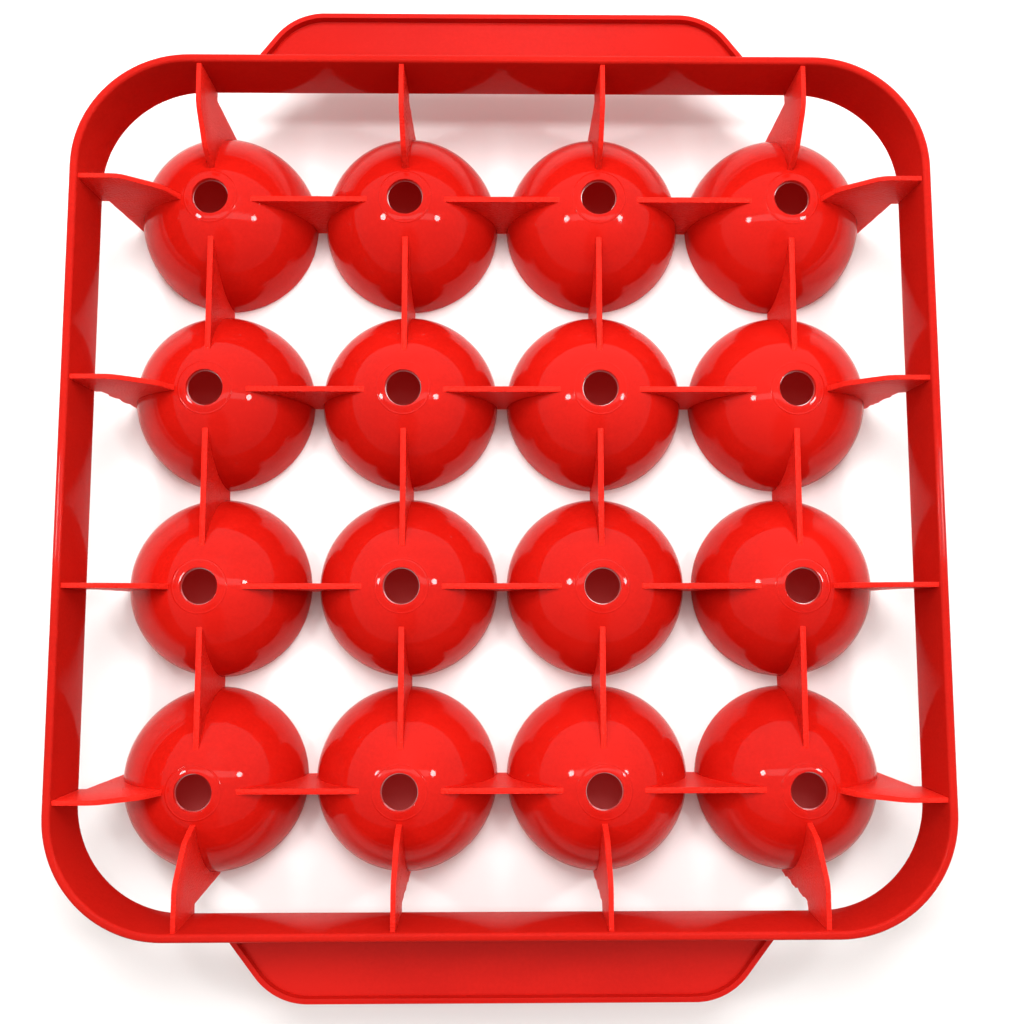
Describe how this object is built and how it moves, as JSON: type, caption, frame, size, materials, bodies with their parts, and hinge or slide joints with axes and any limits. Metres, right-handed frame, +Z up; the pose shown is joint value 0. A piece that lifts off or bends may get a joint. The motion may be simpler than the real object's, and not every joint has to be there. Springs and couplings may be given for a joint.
{
  "type": "egg and ball carrying tray",
  "caption": "Moulded tray of hemispherical cups with drain holes, held by thin ribs in a rounded square frame with a flange handle on two opposite sides.",
  "frame": {"origin": "on the floor under the middle of the tray, which stands on its frame with the cup mouths up", "axes": "+Z up, out of the cup mouths; Y from handle to handle, +Y towards the back handle; X across the handles"},
  "size_m": [0.2746, 0.3212, 0.0468],
  "materials": {
    "cup": "high gloss red, moulded",
    "frame": "gloss red, moulded",
    "handle": "gloss red, moulded",
    "rib": "satin red, moulded"
  },
  "bodies": {
    "root": {"frame_ring": "frame", "handle_back": "handle", "handle_front": "handle", "cup_1_1": "cup", "cup_1_2": "cup", "cup_1_3": "cup", "cup_1_4": "cup", "cup_2_1": "cup", "cup_2_2": "cup", "cup_2_3": "cup", "cup_2_4": "cup", "cup_3_1": "cup", "cup_3_2": "cup", "cup_3_3": "cup", "cup_3_4": "cup", "cup_4_1": "cup", "cup_4_2": "cup", "cup_4_3": "cup", "cup_4_4": "cup", "rib_across_1_1": "rib", "rib_across_1_2": "rib", "rib_across_1_3": "rib", "rib_across_2_1": "rib", "rib_across_2_2": "rib", "rib_across_2_3": "rib", "rib_across_3_1": "rib", "rib_across_3_2": "rib", "rib_across_3_3": "rib", "rib_across_4_1": "rib", "rib_across_4_2": "rib", "rib_across_4_3": "rib", "rib_along_1_1": "rib", "rib_along_1_2": "rib", "rib_along_1_3": "rib", "rib_along_1_4": "rib", "rib_along_2_1": "rib", "rib_along_2_2": "rib", "rib_along_2_3": "rib", "rib_along_2_4": "rib", "rib_along_3_1": "rib", "rib_along_3_2": "rib", "rib_along_3_3": "rib", "rib_along_3_4": "rib", "edge_rib_right_1": "rib", "edge_rib_right_2": "rib", "edge_rib_right_3": "rib", "edge_rib_right_4": "rib", "edge_rib_left_1": "rib", "edge_rib_left_2": "rib", "edge_rib_left_3": "rib", "edge_rib_left_4": "rib", "edge_rib_back_1": "rib", "edge_rib_back_2": "rib", "edge_rib_back_3": "rib", "edge_rib_back_4": "rib", "edge_rib_front_1": "rib", "edge_rib_front_2": "rib", "edge_rib_front_3": "rib", "edge_rib_front_4": "rib"}
  },
  "joints": []
}
